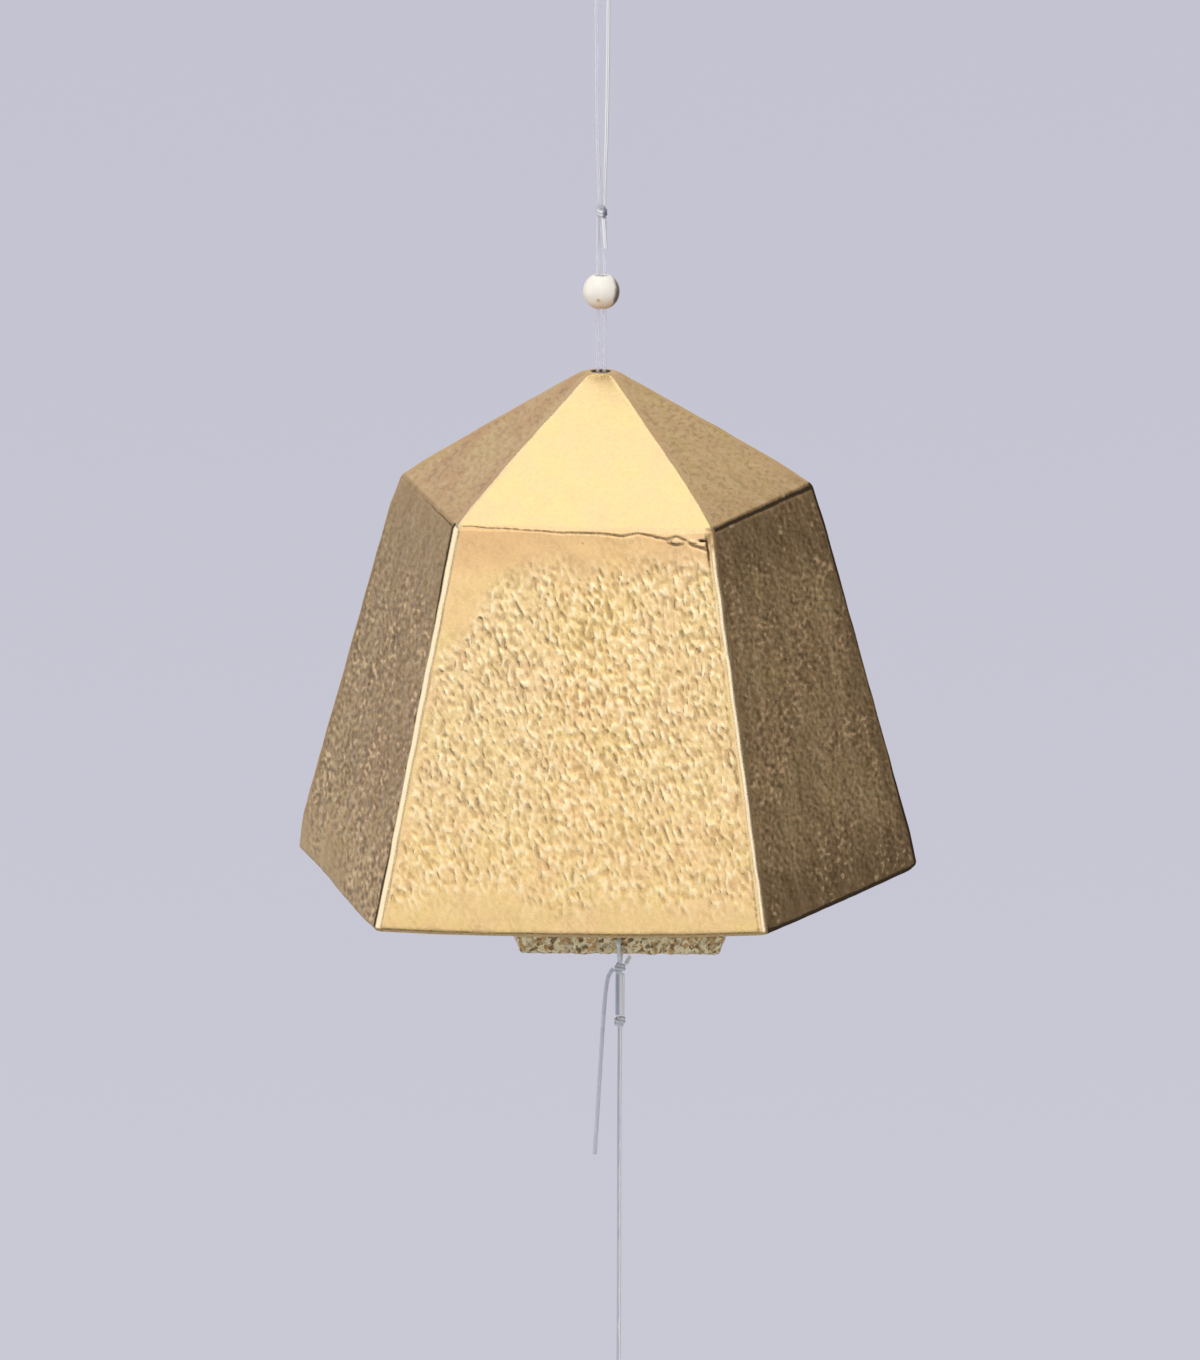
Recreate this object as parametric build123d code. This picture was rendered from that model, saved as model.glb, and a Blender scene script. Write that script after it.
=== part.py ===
from build123d import *
import os
from math import atan2, cos, degrees, pi, radians, sqrt, tan

# A five-sided cast wind bell on a clear line, with a bead, a clapper plate and a paper wind strip.
# The origin is the inside of the hanging loop's top, where the hook bears. +Z is up, and one flat
# wall of the bell faces -Y.

# Line
line_diameter = 0.5
line_clearance = 0.1
strand_half_gap = 0.41
bend_share = 0.45
knot_diameter = 1.5

# Hanging loop, above its knot
hook_diameter = 1.1
loop_length = 35.1
loop_join_height = 3.4
loop_belly_height = 8.5
loop_belly_half_width = 0.56
loop_upper_height = 17.0
loop_upper_half_width = 0.67

# Bead on the line
knot_to_bead = 9.9
bead_diameter = 4.5
bead_hole_diameter = 1.5
bead_edge_radius = 0.2
bead_to_crown = 10.36

# Bell
side_count = 5
rim_circumradius = 40.0
shoulder_circumradius = 26.6
shoulder_height = 47.4
crown_circumradius = 2.1
bell_height = 62.64
wall_thickness = 2.6
crown_thickness = 3.6
crown_hole_diameter = 2.1
crown_countersink_depth = 0.6
arris_radius = 1.1
rim_edge_radius = 0.4

# Stop bead, held crosswise under the crown by the line that runs through it
stop_bead_gap = 0.6
stop_bead_hole_diameter = 0.8
stop_bead_side_gap = 1.0
strand_shoulder_drop = 1.75

# Clapper plate, on a line that hangs from the strand beside the stop bead
clapper_offset = 2.6
hitch_knot_drop = 2.1
clapper_rim_drop = 9.4
clapper_height = 12.0
clapper_width = 28.2
clapper_corner_width = 1.8
clapper_corner_height = 4.5
clapper_thickness = 3.0
clapper_edge_chamfer = 0.45
clapper_hole_diameter = 2.0
clapper_hole_inset = 3.2
eye_knot_rise = 2.4

# Wind line, below the clapper
wind_knot_drop = 2.1
double_length = 4.3
wind_line_length = 48.2

# Paper strip
strip_width = 45.0
strip_length = 95.0
strip_thickness = 0.3
strip_bow = 2.0
strip_hole_diameter = 3.0
strip_hole_inset = 4.0
strip_knot_rise = 2.4

# Heights and radii that follow from the sizes above
line_radius = line_diameter / 2
knot_radius = knot_diameter / 2
knot_end = knot_radius + line_clearance
pair_half_gap = line_radius + line_clearance / 2
fold_radius = line_radius + line_clearance
hitch_radius = line_diameter + line_clearance
bead_radius = bead_diameter / 2
loop_knot_z = -loop_length
bead_z = loop_knot_z - knot_to_bead
crown_z = bead_z - bead_to_crown
rim_z = crown_z - bell_height
ceiling_z = crown_z - crown_thickness
stop_bead_z = ceiling_z - stop_bead_gap - bead_radius
top_knot_z = stop_bead_z - hitch_knot_drop
clapper_bottom_z = rim_z - clapper_rim_drop
clapper_top_z = clapper_bottom_z + clapper_height
eye_hole_z = clapper_top_z - clapper_hole_inset
wind_hole_z = clapper_bottom_z + clapper_hole_inset
eye_knot_z = clapper_top_z + eye_knot_rise
wind_knot_z = clapper_bottom_z - wind_knot_drop
second_knot_z = wind_knot_z - double_length
strip_knot_z = second_knot_z - wind_line_length
strip_top_z = strip_knot_z - strip_knot_rise
strip_hole_z = strip_top_z - strip_hole_inset
strip_bottom_z = strip_top_z - strip_length


def write(name, shape):
    """One STEP file for each node."""
    shape.label = name
    export_step(shape, os.path.join("parts", name + ".step"))


def corner_radii(points, tightest):
    """The largest arcs that a route's runs leave room for, or tighter ones where it folds."""
    radii = []
    for before, corner, after in zip(points, points[1:], points[2:]):
        run_in = Vector(*corner) - Vector(*before)
        run_out = Vector(*after) - Vector(*corner)
        half_turn = radians(run_in.get_angle(run_out) / 2)
        radius = bend_share * min(run_in.length, run_out.length) / tan(half_turn)
        radii.append(min(radius, tightest) if tightest else radius)
    return radii


def tube(name, points, tightest=None):
    """A line along a route: straight runs joined by tangent arcs."""
    radii = corner_radii(points, tightest)
    path = FilletPolyline(*points, radius=radii) if radii else Line(*points)
    section = Plane(origin=path @ 0, z_dir=path % 0) * Circle(line_radius)
    solid = sweep(section, path=path)
    share = solid.volume / (pi * line_radius**2 * path.length)
    print(name, "length", round(path.length, 2), "volume share", round(share, 4))
    print("  radii", [round(radius, 2) for radius in radii])
    return solid


def knot(x, z):
    """A drawn-up overhand knot, as the ball that it fills."""
    return Pos(x, 0, z) * Sphere(knot_radius)


def bead(hole_diameter):
    """A turned bead, its hole along Z and the hole's edges eased."""
    ball = Sphere(bead_radius) - Cylinder(hole_diameter / 2, bead_diameter)
    return fillet(ball.edges().filter_by(GeomType.CIRCLE), bead_edge_radius)


def both_ways(half):
    """A route that is mirrored in X: one side's points up to the middle, then back down."""
    return half + [(-x, y, z) for x, y, z in reversed(half)]


def eye_route(face, start, bend, hole):
    """A loop's route through a hole: down one face, through the hole and up the other face."""
    side = [(clapper_offset, pair_half_gap, start), (clapper_offset, face, bend)]
    side.append((clapper_offset, face, hole))
    return side + [(x, -y, z) for x, y, z in reversed(side)]


# Hanging loop: two strands side by side out of the knot, then apart, and round the hook
def make_hanging_loop():
    half = [
        (pair_half_gap, 0, loop_knot_z + knot_end),
        (pair_half_gap, 0, loop_knot_z + loop_join_height),
        (loop_belly_half_width, 0, loop_knot_z + loop_belly_height),
        (loop_upper_half_width, 0, loop_knot_z + loop_upper_height),
        (hook_diameter / 2 + line_radius, 0, line_radius),
    ]
    return tube("hanging_loop", both_ways(half))


# Crown line: two strands through the bead and the crown, out round the stop bead and through it
def make_crown_line():
    side = bead_radius + stop_bead_side_gap
    half = [
        (strand_half_gap, 0, loop_knot_z - knot_end),
        (strand_half_gap, 0, ceiling_z),
        (side, 0, ceiling_z - strand_shoulder_drop),
        (side, 0, stop_bead_z),
    ]
    return tube("crown_line", both_ways(half))


# Short end of the loop's knot, in front of the right-hand strand
def make_loop_knot_tail():
    route = [
        (0.3, -0.8, loop_knot_z - 0.6),
        (0.4, -0.85, loop_knot_z - 1.9),
        (0.6, -0.95, loop_knot_z - 4.4),
    ]
    return tube("loop_knot_tail", route)


# Clapper's line: a loop and knot on the strand beside the stop bead, then straight down
def make_clapper_hitch():
    route = eye_route(
        hitch_radius, top_knot_z, stop_bead_z - hitch_radius, stop_bead_z + hitch_radius
    )
    return tube("clapper_hitch", route, hitch_radius)


def make_clapper_line():
    top = (clapper_offset, 0, top_knot_z - knot_end)
    bottom = (clapper_offset, 0, eye_knot_z + knot_end)
    return tube("clapper_line", [top, bottom])


def make_eye_loop():
    face = clapper_thickness / 2 + fold_radius
    hole = eye_hole_z + clapper_hole_diameter / 2 - fold_radius
    route = eye_route(face, eye_knot_z, clapper_top_z + line_clearance, hole)
    return tube("clapper_eye_loop", route, fold_radius)


# Wind line's loop through the clapper's lower hole, down both faces to its knot
def make_wind_loop():
    face = clapper_thickness / 2 + fold_radius
    hole = wind_hole_z - clapper_hole_diameter / 2 + fold_radius
    route = eye_route(face, wind_knot_z + knot_end, clapper_bottom_z - line_clearance, hole)
    return tube("wind_loop", route, fold_radius)


def make_wind_loop_end():
    route = [
        (clapper_offset + 0.72, 0, wind_knot_z + 0.52),
        (clapper_offset + 1.0, 0, wind_knot_z + 0.95),
        (clapper_offset + 1.2, 0, wind_knot_z + 1.5),
    ]
    return tube("wind_loop_end", route)


# Wind line: doubled down to its second knot, single from there to the paper
def make_wind_double():
    pair = []
    for x in (clapper_offset - pair_half_gap, clapper_offset + pair_half_gap):
        route = [(x, 0, wind_knot_z - knot_end), (x, 0, second_knot_z)]
        pair.append(tube("wind_line_double", route))
    return pair[0] + pair[1]


def make_wind_line():
    top = (clapper_offset, 0, second_knot_z)
    bottom = (clapper_offset, 0, strip_knot_z + knot_end)
    return tube("wind_line", [top, bottom])


def make_wind_tail():
    route = [
        (clapper_offset - 0.85, 0, wind_knot_z - 0.15),
        (clapper_offset - 1.35, 0, wind_knot_z - 0.75),
        (clapper_offset - 1.65, 0, wind_knot_z - 2.0),
        (clapper_offset - 1.9, 0, wind_knot_z - 4.4),
        (clapper_offset - 2.15, 0, wind_knot_z - 8.2),
        (clapper_offset - 2.5, 0, wind_knot_z - 14.5),
        (clapper_offset - 3.05, 0, wind_knot_z - 23.6),
    ]
    return tube("wind_line_tail", route)


# Loop of line through the paper's hole
def make_strip_loop():
    face = strip_thickness / 2 + fold_radius
    hole = strip_hole_z + strip_hole_diameter / 2 - fold_radius
    route = eye_route(face, strip_knot_z - knot_end, strip_top_z, hole)
    return tube("strip_loop", route, fold_radius)


# Bell: two five-sided frustums outside, the same two inside, set in by the wall
def frustum(bottom_apothem, top_apothem, bottom_z, top_z):
    taper = degrees(atan2(bottom_apothem - top_apothem, top_z - bottom_z))
    corner_turn = degrees(pi / side_count - pi / 2)
    outline = RegularPolygon(bottom_apothem, side_count, major_radius=False, rotation=corner_turn)
    return extrude(Plane.XY.offset(bottom_z) * outline, top_z - bottom_z, taper=taper)


def make_bell():
    apothem_share = cos(pi / side_count)
    rim_apothem = rim_circumradius * apothem_share
    shoulder_apothem = shoulder_circumradius * apothem_share
    crown_apothem = crown_circumradius * apothem_share
    wall_lean = (rim_apothem - shoulder_apothem) / shoulder_height
    roof_pitch = (bell_height - shoulder_height) / (shoulder_apothem - crown_apothem)

    # Inner faces, each a wall's thickness in from its outer face
    wall_inset = wall_thickness * sqrt(1 + wall_lean**2)
    roof_inset = wall_thickness * sqrt(1 + roof_pitch**2)
    inner_rim = rim_apothem - wall_inset
    roof_start = shoulder_height + roof_pitch * shoulder_apothem - roof_inset
    inner_shoulder_height = (roof_start - roof_pitch * inner_rim) / (1 - roof_pitch * wall_lean)
    inner_shoulder = inner_rim - wall_lean * inner_shoulder_height
    ceiling_height = bell_height - crown_thickness
    inner_crown = (roof_start - ceiling_height) / roof_pitch

    outside = frustum(rim_apothem, shoulder_apothem, 0, shoulder_height)
    outside += frustum(shoulder_apothem, crown_apothem, shoulder_height, bell_height)
    arrises = outside.edges().filter_by(lambda edge: edge.center().Z > 0)
    arrises = arrises.filter_by(lambda edge: edge.center().Z < bell_height)
    outside = fillet(arrises, arris_radius)
    outside = fillet(outside.faces().sort_by(Axis.Z)[0].edges(), rim_edge_radius)

    inside = frustum(inner_rim, inner_shoulder, 0, inner_shoulder_height)
    inside += frustum(inner_shoulder, inner_crown, inner_shoulder_height, ceiling_height)

    hole = Pos(0, 0, bell_height) * Cylinder(crown_hole_diameter / 2, 2 * crown_thickness)
    sink_top = crown_hole_diameter / 2
    sink_bottom = sink_top + crown_countersink_depth
    sink = Pos(0, 0, ceiling_height) * Cone(
        sink_bottom, sink_top, crown_countersink_depth, align=(Align.CENTER, Align.CENTER, Align.MIN)
    )
    return Pos(0, 0, rim_z) * (outside - inside - hole - sink)


# Clapper: a plate with slanted ends, hung by one hole, the wind line through the other
def make_clapper():
    half_width = clapper_width / 2
    narrow = half_width - clapper_corner_width
    low_corner = clapper_bottom_z + clapper_corner_height
    high_corner = clapper_top_z - clapper_corner_height
    outline = [
        (-narrow, clapper_bottom_z),
        (narrow, clapper_bottom_z),
        (half_width, low_corner),
        (half_width, high_corner),
        (narrow, clapper_top_z),
        (-narrow, clapper_top_z),
        (-half_width, high_corner),
        (-half_width, low_corner),
    ]
    plate = extrude(Plane.XZ * Polygon(*outline, align=None), clapper_thickness / 2, both=True)
    flats = plate.faces().filter_by(Axis.Y)
    plate = chamfer(flats.edges(), clapper_edge_chamfer)
    hole = Rot(90, 0, 0) * Cylinder(clapper_hole_diameter / 2, 2 * clapper_thickness)
    plate -= Pos(0, 0, eye_hole_z) * hole
    plate -= Pos(0, 0, wind_hole_z) * hole
    return Pos(clapper_offset, 0, 0) * plate


# Paper strip: a thin sheet, bowed a little across its width, with one punched hole
def make_strip():
    chord = strip_width / 2
    bow_radius = (chord**2 + strip_bow**2) / (2 * strip_bow)
    height = strip_top_z - strip_bottom_z
    sheet = Cylinder(bow_radius, height) - Cylinder(bow_radius - strip_thickness, height)
    sheet = Pos(0, bow_radius - strip_thickness / 2, 0) * sheet
    sheet &= Box(strip_width, bow_radius, height)
    sheet = Pos(0, 0, (strip_top_z + strip_bottom_z) / 2) * sheet
    sheet -= Pos(0, 0, strip_hole_z) * Rot(90, 0, 0) * Cylinder(
        strip_hole_diameter / 2, 2 * strip_bow
    )
    return Pos(clapper_offset, 0, 0) * sheet


os.makedirs("parts", exist_ok=True)

write("hanging_loop", make_hanging_loop())
write("loop_knot", knot(0, loop_knot_z))
write("loop_knot_tail", make_loop_knot_tail())
write("crown_line", make_crown_line())
write("line_bead", Pos(0, 0, bead_z) * bead(bead_hole_diameter))
write("stop_bead", Pos(0, 0, stop_bead_z) * Rot(0, 90, 0) * bead(stop_bead_hole_diameter))
write("bell", make_bell())
write("clapper_hitch", make_clapper_hitch())
write("clapper_top_knot", knot(clapper_offset, top_knot_z))
write("clapper_line", make_clapper_line())
write("clapper_eye_knot", knot(clapper_offset, eye_knot_z))
write("clapper_eye_loop", make_eye_loop())
write("clapper", make_clapper())
write("wind_loop", make_wind_loop())
write("wind_loop_end", make_wind_loop_end())
write("wind_knot", knot(clapper_offset, wind_knot_z))
write("wind_line_double", make_wind_double())
write("wind_second_knot", knot(clapper_offset, second_knot_z))
write("wind_line", make_wind_line())
write("wind_line_tail", make_wind_tail())
write("strip_knot", knot(clapper_offset, strip_knot_z))
write("strip_loop", make_strip_loop())
write("wind_strip", make_strip())
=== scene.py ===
import math

import bpy
import numpy as np
from mathutils import Matrix, Vector, noise


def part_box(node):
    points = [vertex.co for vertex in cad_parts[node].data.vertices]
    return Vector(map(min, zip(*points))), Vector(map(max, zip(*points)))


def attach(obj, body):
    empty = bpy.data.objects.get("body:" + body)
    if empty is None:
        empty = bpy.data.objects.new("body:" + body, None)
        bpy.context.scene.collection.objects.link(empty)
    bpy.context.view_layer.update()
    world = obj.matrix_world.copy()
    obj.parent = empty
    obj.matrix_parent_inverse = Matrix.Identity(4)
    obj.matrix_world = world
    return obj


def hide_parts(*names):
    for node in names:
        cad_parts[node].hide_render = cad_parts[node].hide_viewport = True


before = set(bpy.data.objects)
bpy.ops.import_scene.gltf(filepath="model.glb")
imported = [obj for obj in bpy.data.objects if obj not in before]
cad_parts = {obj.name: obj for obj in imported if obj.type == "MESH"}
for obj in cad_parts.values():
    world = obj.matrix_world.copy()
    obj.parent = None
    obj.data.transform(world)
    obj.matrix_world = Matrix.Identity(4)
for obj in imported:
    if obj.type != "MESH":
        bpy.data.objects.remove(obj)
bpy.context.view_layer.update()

# A five-sided cast wind bell on a clear line. Scene units are metres and +Z is up. One flat wall
# faces -Y, and the origin is the inside of the hanging loop's top. Sizes are in millimetres.

MM = 0.001


def mm(*values):
    return [value * MM for value in values]


def low(node):
    return Vector(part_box(node)[0]) / MM


def high(node):
    return Vector(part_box(node)[1]) / MM


def centre(node):
    return (low(node) + high(node)) / 2


# How far the clapper hangs below its place in the solids, and how much it slopes up to the right
HANG_LOW = 0.35
HANG_SLOPE = 0.0175
# How far the second knot under the clapper is tied below its place in the solids
SECOND_LOW = 2.4
# Places that follow from the solids
LINE_RADIUS = (high("wind_line").x - low("wind_line").x) / 2
KNOT_STRAND_RADIUS = 0.24
CLAPPER_X = centre("clapper").x
LOOP_KNOT_Z = centre("loop_knot").z
BEAD_Z = centre("line_bead").z
RIM_Z = low("bell").z
STOP_BEAD_Z = centre("stop_bead").z
TOP_KNOT_Z = centre("clapper_top_knot").z
EYE_KNOT_Z = centre("clapper_eye_knot").z
WIND_KNOT_Z = centre("wind_knot").z
SECOND_KNOT_Z = centre("wind_second_knot").z - SECOND_LOW
STRIP_KNOT_Z = centre("strip_knot").z
CLAPPER_TOP_Z = high("clapper").z
CLAPPER_BOTTOM_Z = low("clapper").z
STRIP_TOP_Z = high("wind_strip").z
HOLE_INSET = 3.2
EYE_HOLE_Z = CLAPPER_TOP_Z - HOLE_INSET
WIND_HOLE_Z = CLAPPER_BOTTOM_Z + HOLE_INSET
STRIP_HOLE_Z = STRIP_TOP_Z - 4.0


# Material helpers
def new_material(name):
    """A material with its node tree, its shader and the object's coordinates."""
    material = bpy.data.materials.new(name)
    material.use_nodes = True
    tree = material.node_tree
    tree.nodes.clear()
    out = tree.nodes.new("ShaderNodeOutputMaterial")
    shader = tree.nodes.new("ShaderNodeBsdfPrincipled")
    tree.links.new(shader.outputs["BSDF"], out.inputs["Surface"])
    return material, tree, shader, object_coords(tree)


def is_socket(value):
    return isinstance(value, bpy.types.NodeSocket)


def feed(value, socket):
    """Links an output into an input, or sets the input to a value."""
    if is_socket(value):
        socket.id_data.links.new(value, socket)
    else:
        socket.default_value = value


def node(tree, kind, inputs=None, **settings):
    made = tree.nodes.new("ShaderNode" + kind)
    for key, value in settings.items():
        setattr(made, key, value)
    for key, value in (inputs or {}).items():
        feed(value, made.inputs[key])
    return made


def object_coords(tree, scale=(1, 1, 1)):
    coords = node(tree, "TexCoord")
    mapping = node(tree, "Mapping", {"Vector": coords.outputs["Object"], "Scale": scale})
    return mapping.outputs["Vector"]


def noise_value(vector, size, detail=2.0, roughness=0.5, distortion=0.0):
    """Noise whose grains are about `size` millimetres across."""
    inputs = {"Vector": vector, "Scale": 1 / (size * MM), "Detail": detail}
    inputs.update(Roughness=roughness, Distortion=distortion)
    return node(vector.id_data, "TexNoise", inputs).outputs["Fac"]


def spread_range(value, start, end, to_start=0.0, to_end=1.0, smooth=True):
    """A value's way from start to end, spread over another range."""
    inputs = {"Value": value, "From Min": start, "From Max": end}
    inputs.update({"To Min": to_start, "To Max": to_end})
    kind = "SMOOTHSTEP" if smooth else "LINEAR"
    return node(value.id_data, "MapRange", inputs, interpolation_type=kind).outputs["Result"]


def math_node(operation, a, b=0.0):
    tree = a.id_data if is_socket(a) else b.id_data
    return node(tree, "Math", {0: a, 1: b}, operation=operation).outputs["Value"]


def plus(a, b):
    return math_node("ADD", a, b)


def less(a, b):
    return math_node("SUBTRACT", a, b)


def times(a, b):
    return math_node("MULTIPLY", a, b)


def larger(a, b):
    return math_node("MAXIMUM", a, b)


def mix_colour(factor, a, b):
    a, b = (value if is_socket(value) else (*value, 1.0) for value in (a, b))
    return node(factor.id_data, "Mix", {0: factor, 6: a, 7: b}, data_type="RGBA").outputs[2]


def stain(colour, amount, share, tone):
    """A colour turned into a tone by a share of an amount."""
    return mix_colour(times(amount, share), colour, tone)


def mix_value(factor, a, b):
    return node(factor.id_data, "Mix", {0: factor, 2: a, 3: b}, data_type="FLOAT").outputs[0]


def along_way(vector, way):
    """How far a vector reaches along a way."""
    inputs = {0: vector, 1: way}
    return node(vector.id_data, "VectorMath", inputs, operation="DOT_PRODUCT").outputs["Value"]


def attribute(tree, name):
    return node(tree, "Attribute", attribute_name=name).outputs["Fac"]


def bump(height, strength, distance, normal=None):
    """A bump whose full height is `distance` millimetres."""
    inputs = {"Height": height, "Strength": strength, "Distance": distance * MM}
    if normal is not None:
        inputs["Normal"] = normal
    return node(height.id_data, "Bump", inputs).outputs["Normal"]


def set_shader(shader, **inputs):
    for key, value in inputs.items():
        feed(value, shader.inputs[key.replace("_", " ")])


# What the bell's mesh carries for its finish and its painted light and shade, one value for each
# point
FINISH_AND_LIGHT_LAYERS = ("skin", "pit", "painted_highlight", "dirt", "tarnish_and_shade", "painted_speckle", "rust")


# Materials
def cast_gold():
    """Cast gold: pear skin on the walls, painted highlights on arrises, painted shade in seams and
    pits.
    """
    material, tree, shader, at = new_material("cast_gold")
    skin, pit, painted_highlight, dirt, tarnish_and_shade, painted_speckle, rust = (attribute(tree, name) for name in FINISH_AND_LIGHT_LAYERS)
    on_skin = node(tree, "Attribute", attribute_name="skin_at").outputs["Vector"]
    aslant = {"Vector": on_skin, "Rotation": (0.62, 0.47, 0.35)}
    on_skin = node(tree, "Mapping", aslant).outputs["Vector"]
    round_lumps = noise_value(on_skin, 0.57, 0.0, 0.5, 0.15)
    long_lumps = noise_value(on_skin, 0.49, 0.0, 0.5, 0.35)
    lump = less(plus(round_lumps, times(long_lumps, 0.5)), 0.75)
    hue = spread_range(noise_value(at, 5.0, 3.0, 0.6), 0.38, 0.62)
    colour = mix_colour(hue, (0.805, 0.565, 0.282), (0.800, 0.583, 0.268))
    blush = spread_range(noise_value(at, 3.6, 3.0, 0.65, 0.4), 0.50, 0.70)
    colour = stain(colour, blush, 0.45, (0.80, 0.52, 0.28))
    # Painted highlight: the skin's lump tops are painted paler
    crest_highlight = times(spread_range(lump, 0.0, 0.30), skin)
    colour = stain(colour, crest_highlight, 0.85, (0.95, 0.79, 0.50))
    # Painted shade: the skin's hollows and pits are painted darker
    hollow = times(spread_range(lump, -0.02, -0.28), skin)
    hollow_shade = math_node("MINIMUM", larger(pit, hollow), 1.0)
    colour = stain(colour, hollow_shade, 0.62, (0.45, 0.27, 0.10))
    colour = stain(colour, rust, 0.70, (0.74, 0.45, 0.23))
    # Painted speckle: dark dots as shade, bright dots (light) as glints
    dots = noise_value(on_skin, 0.56, 0.0, 0.5, 0.2)
    shade = times(spread_range(dots, 0.50, 0.30), painted_speckle)
    colour = stain(colour, shade, 0.85, (0.31, 0.20, 0.09))
    # Tarnish, with painted shade on the walls
    colour = stain(colour, tarnish_and_shade, 0.75, (0.34, 0.205, 0.08))
    glint_amount = larger(less(painted_speckle, 0.45), 0.0)
    light = times(spread_range(dots, 0.60, 0.74), glint_amount)
    light = math_node("MINIMUM", times(light, 1.8), 1.0)
    colour = stain(colour, light, 0.80, (1.0, 0.72, 0.42))
    # Painted highlight: pale arrises round the front face, the lit band and the front wall's paler
    # sides
    colour = mix_colour(painted_highlight, colour, (0.84, 0.69, 0.46))
    fleck = spread_range(noise_value(at, 0.5, 2.0, 0.6), 0.3, 0.7)
    # Painted shade: dark lines under the roof's edges, beside the arrises, at the rim and in the
    # hole
    ragged = plus(dirt, times(fleck, 0.15))
    shade_share = spread_range(ragged, 0.15, 0.80)
    colour = mix_colour(shade_share, colour, (0.045, 0.026, 0.012))
    matt = plus(times(light, 0.4), shade_share)
    matt = plus(times(painted_highlight, 0.18), matt)
    metal = larger(less(1.0, times(matt, 0.9)), 0.0)
    rough = plus(times(fleck, 0.12), 0.24)
    rough = plus(rough, times(shade_share, 0.4))
    normal = bump(times(lump, skin), 1.0, 0.140)
    grain = less(noise_value(at, 0.34, 1.0, 0.5), 0.5)
    lively = less(plus(skin, 0.2), painted_highlight)
    grain = times(grain, larger(lively, 0.0))
    normal = bump(grain, 0.5, 0.016, normal)
    set_shader(shader, Base_Color=colour, Metallic=metal, Roughness=rough, Normal=normal)
    set_shader(shader, Specular_IOR_Level=0.15)
    return material


def rough_gold():
    """The clapper: as cast, with lumps, dark cracks and painted shade in its hollows."""
    material, tree, shader, at = new_material("rough_gold")
    pit = attribute(tree, "pit")
    tint = spread_range(noise_value(at, 0.54, 1.0, 0.5, 0.4), 0.42, 0.51)
    colour = mix_colour(tint, (0.70, 0.46, 0.18), (1.0, 0.90, 0.57))
    crack = spread_range(noise_value(at, 0.66, 1.0, 0.5, 0.5), 0.455, 0.385)
    # Painted shade in the hollows' pits, and dark cracks
    shade_and_cracks = larger(times(pit, 0.75), crack)
    colour = stain(colour, shade_and_cracks, 0.9, (0.19, 0.115, 0.042))
    rough = spread_range(noise_value(at, 0.6, 2.0, 0.6), 0.3, 0.7, 0.26, 0.44)
    normal = bump(noise_value(at, 0.44, 1.0, 0.5), 1.0, 0.24)
    set_shader(shader, Base_Color=colour, Metallic=0.25, Roughness=rough, Normal=normal)
    return material


def clear_line():
    """Clear nylon. The loop's right strand and the lower line's right side get painted highlights.
    """
    material, tree, shader, at = new_material("clear_line")
    parts = node(tree, "SeparateXYZ", {"Vector": at})
    across, height = parts.outputs["X"], parts.outputs["Z"]
    in_front = spread_range(parts.outputs["Y"], -0.45 * MM, -0.75 * MM)
    cloud = spread_range(noise_value(at, 3.0, 1.0, 0.5), 0.3, 0.7)
    over_bead = spread_range(height, (BEAD_Z - 1) * MM, (BEAD_Z + 1) * MM, 0.05, 0.22)
    knot_low, knot_high = (LOOP_KNOT_Z - 0.3) * MM, (LOOP_KNOT_Z + 0.5) * MM
    over_knot = spread_range(height, knot_low, knot_high, 0.08, 1.0)
    right = spread_range(across, 0.10 * MM, 0.40 * MM)
    left_shine = times(over_bead, less(2.1, over_knot))
    shine = mix_value(right, left_shine, over_knot)
    above = mix_colour(right, (0.93, 0.93, 0.98), (0.94, 0.955, 1.0))
    # Painted shade on the lower line's left side, painted highlight (whiter, metal) on its right
    # and before the clapper
    lit_side = plus(across, times(cloud, 0.10 * MM))
    lit_side = spread_range(lit_side, (CLAPPER_X - 0.06) * MM, (CLAPPER_X + 0.14) * MM)
    below = mix_colour(lit_side, (0.50, 0.56, 0.66), (0.98, 0.99, 1.0))
    loose = spread_range(across, (CLAPPER_X - 0.65) * MM, (CLAPPER_X - 0.95) * MM)
    below = mix_colour(loose, below, (0.74, 0.78, 0.86))
    below = mix_colour(in_front, below, (0.80, 0.90, 0.94))
    upper = spread_range(height, -0.110, -0.075)
    colour = mix_colour(upper, below, above)
    gleam = mix_value(upper, lit_side, shine)
    gleam = larger(gleam, times(in_front, 0.9))
    clear = spread_range(gleam, 0.0, 1.0, 0.80, 0.08, smooth=False)
    clear = mix_value(upper, spread_range(loose, 0.0, 1.0, 0.18, 0.45), clear)
    knotted = None
    for z in (WIND_KNOT_Z, SECOND_KNOT_Z):
        off = math_node("ABSOLUTE", less(height, z * MM))
        one = spread_range(off, 0.95 * MM, 0.65 * MM)
        knotted = one if knotted is None else larger(knotted, one)
    colour = stain(colour, knotted, 0.7, (0.68, 0.74, 0.83))
    clear = mix_value(knotted, clear, 0.10)
    # Painted shade at the loop's knot
    off = math_node("ABSOLUTE", less(height, LOOP_KNOT_Z * MM))
    knot_shade = times(spread_range(off, 0.85 * MM, 0.60 * MM), right)
    colour = mix_colour(knot_shade, colour, (0.30, 0.30, 0.38))
    gleam = larger(less(gleam, knot_shade), 0.0)
    metal = times(gleam, mix_value(upper, 0.20, 0.30))
    rough = spread_range(noise_value(at, 0.8), 0.35, 0.65, 0.14, 0.26)
    set_shader(shader, Base_Color=colour, Roughness=rough, IOR=1.53, Metallic=metal)
    set_shader(shader, Transmission_Weight=clear)
    return material


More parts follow.
